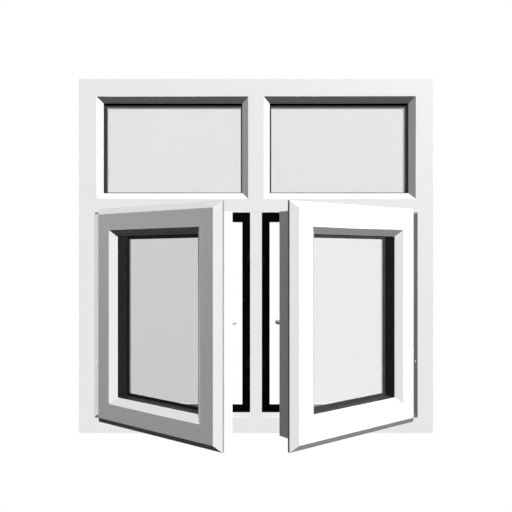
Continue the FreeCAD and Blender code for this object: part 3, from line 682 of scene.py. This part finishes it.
class WINDOW_OT_seals(bpy.types.Operator):
    """Rounds and finishes the gaskets round the glass and the seals round the sashes"""

    bl_idname = "window.seals"
    bl_label = "Seals and gaskets"

    def execute(self, context):
        settings = context.scene.window_seals
        # each side's gasket colour and dust are scaled by a painted light and shade factor: darker on the left
        # sash, lighter on the right sash and the frame
        rubber = {side: matt_rubber(f"Gasket rubber, {side}",
                                    [c * bloom_and_shade for c in settings.colour],
                                    [c * bloom_and_shade for c in settings.dust], specular=0.15)
                  for side, bloom_and_shade in GASKET_LIGHT_AND_SHADE.items()}
        deep = matt_rubber("Seal rubber", settings.deep, [c * 2 for c in settings.deep],
                           specular=0.02)
        for node in nodes_ending("_gaskets", "_seal", "_seals"):
            finish = rubber[side_of(node)] if node.endswith("_gaskets") else deep
            rounded_nodes([node], "_rubber", finish, settings.rounding)
        return {"FINISHED"}


class WINDOW_OT_hardware(bpy.types.Operator):
    """Rounds and finishes the stays, the locks, the screws and the steel tubes"""

    bl_idname = "window.hardware"
    bl_label = "Stays, locks and steel"

    def execute(self, context):
        settings = context.scene.window_hardware
        steel = brushed_metal("Satin stainless steel", settings.stainless, roughness=0.38,
                              stretch=(12.0, 12.0, 700.0))
        brass = brushed_metal("Plain brass", settings.brass, roughness=0.36,
                              stretch=(15.0, 15.0, 600.0))
        black = coated_steel(settings)
        zinc = galvanised_steel(settings)
        rounded_nodes(nodes_ending("_arms", "stay_tracks", "_lock_case", "_drive_bar"),
                      "_steel", steel, settings.edge)
        rounded_nodes(nodes_ending("keeps"), "_black", black, settings.edge)
        for node in nodes_ending("_screws"):
            finish_node(node, steel)
        for node in nodes_ending("_steels"):
            finish_node(node, zinc)
        rounded_nodes(nodes_ending("_shoes"), "_brass", brass, settings.edge)
        return {"FINISHED"}


class WINDOW_OT_handles(bpy.types.Operator):
    """Rounds and finishes the lever handles and their base plates"""

    bl_idname = "window.handles"
    bl_label = "Handles"

    def execute(self, context):
        settings = context.scene.window_handles
        rounded_nodes(nodes_ending("_handle", "_handle_base"), "_coated",
                      powder_coat(settings), settings.edge, segments=3)
        return {"FINISHED"}


def sun(name, strength, direction, angle):
    """A soft sun without shadow or bounced light, that shines from a direction."""
    light = bpy.data.lights.new(name, "SUN")
    light.energy = strength
    light.angle = angle
    light.use_shadow = False
    light.cycles.max_bounces = 0
    lamp = bpy.data.objects.new(name, light)
    lamp.rotation_euler = (-Vector(direction)).to_track_quat("-Z", "Y").to_euler()
    bpy.context.scene.collection.objects.link(lamp)


def bright_to_camera(material, kind, unseen):
    """A shader that is white where it is looked at and has another strength as a light."""
    path = node_in(material, "ShaderNodeLightPath")
    first = node_in(material, kind, {"Color": WHITE, "Strength": unseen})
    second = node_in(material, kind, {"Color": WHITE, "Strength": 1.0})
    return node_in(material, "ShaderNodeMixShader", {
        0: path.outputs["Is Camera Ray"], 1: first.outputs[0], 2: second.outputs[0]})


class WINDOW_OT_stage(bpy.types.Operator):
    """Makes the pale floor, the soft lights and the camera"""

    bl_idname = "window.stage"
    bl_label = "Stage"

    def execute(self, context):
        settings = context.scene.window_stage
        self.floor(settings)
        self.room(context, settings)
        sun("Key light", settings.key, KEY_FROM, KEY_ANGLE)
        sun("Rim light", settings.rim, RIM_FROM, RIM_ANGLE)
        sun("Back light", settings.back, BACK_FROM, BACK_ANGLE)
        self.camera(context, settings)
        return {"FINISHED"}

    def floor(self, settings):
        """A wide round floor just under the window."""
        bm = bmesh.new()
        bmesh.ops.create_circle(bm, cap_ends=True, segments=FLOOR_SIDES,
                              radius=settings.floor)
        mesh = bpy.data.meshes.new("Floor")
        bm.to_mesh(mesh)
        bm.free()
        material = new_material("Pale floor")
        shader = bright_to_camera(material, "ShaderNodeEmission", settings.ambient)
        mesh.materials.append(close_material(material, shader))
        floor = bpy.data.objects.new("Floor", mesh)
        floor.location = (0, 0, -FLOOR_DROP)
        bpy.context.scene.collection.objects.link(floor)

    def room(self, context, settings):
        """A white surround that gives hardly any light."""
        world = bpy.data.worlds.new("Pale room")
        context.scene.world = world
        world.use_nodes = True
        world.node_tree.nodes.clear()
        shader = bright_to_camera(world, "ShaderNodeBackground", settings.ambient)
        output = node_in(world, "ShaderNodeOutputWorld")
        world.node_tree.links.new(shader.outputs[0], output.inputs["Surface"])
        context.scene.view_settings.view_transform = "Standard"

    def camera(self, context, settings):
        """A level camera before the middle of the window."""
        data = bpy.data.cameras.new("Camera")
        data.lens = settings.lens
        data.sensor_width = SENSOR_WIDTH
        data.clip_end = SIGHT_LIMIT
        camera = bpy.data.objects.new("Camera", data)
        low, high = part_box("frame_head")
        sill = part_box("frame_sill")[0]
        camera.location = ((low.x + high.x) / 2, low.y - settings.distance,
                           (sill.z + high.z) / 2)
        camera.rotation_euler = (math.radians(90), 0, 0)
        context.scene.collection.objects.link(camera)
        context.scene.camera = camera


class WINDOW_PT_panel(bpy.types.Panel):
    """Lists the window's operators and settings"""

    bl_idname = "WINDOW_PT_panel"
    bl_label = "Casement window"
    bl_space_type = "VIEW_3D"
    bl_region_type = "UI"
    bl_category = "Casement"

    def draw(self, context):
        for settings_name, operators in STEPS:
            settings = getattr(context.scene, settings_name)
            column = self.layout.column(align=True)
            for key in settings.__annotations__:
                column.prop(settings, key)
            for operator in operators:
                column.operator(operator.bl_idname)


STEPS = (
    ("window_plastic", (WINDOW_OT_frame_profiles, WINDOW_OT_sash_profiles)),
    ("window_glass", (WINDOW_OT_glass,)),
    ("window_seals", (WINDOW_OT_seals,)),
    ("window_hardware", (WINDOW_OT_hardware,)),
    ("window_handles", (WINDOW_OT_handles,)),
    ("window_stage", (WINDOW_OT_stage,)),
)
SETTINGS = {
    "window_plastic": PlasticSettings,
    "window_glass": GlassSettings,
    "window_seals": SealSettings,
    "window_hardware": HardwareSettings,
    "window_handles": HandleSettings,
    "window_stage": StageSettings,
}
OPERATORS = [operator for _, operators in STEPS for operator in operators]


def register():
    for group in SETTINGS.values():
        bpy.utils.register_class(group)
    for name, group in SETTINGS.items():
        setattr(bpy.types.Scene, name, bpy.props.PointerProperty(type=group))
    for cls in OPERATORS + [WINDOW_PT_panel]:
        bpy.utils.register_class(cls)


def unregister():
    for cls in [WINDOW_PT_panel] + OPERATORS[::-1]:
        bpy.utils.unregister_class(cls)
    for name in SETTINGS:
        delattr(bpy.types.Scene, name)
    for group in SETTINGS.values():
        bpy.utils.unregister_class(group)


def main():
    register()
    bpy.ops.window.stage()
    bpy.ops.window.frame_profiles()
    bpy.ops.window.sash_profiles()
    bpy.ops.window.glass()
    bpy.ops.window.seals()
    bpy.ops.window.hardware()
    bpy.ops.window.handles()


if __name__ == "__main__":
    main()
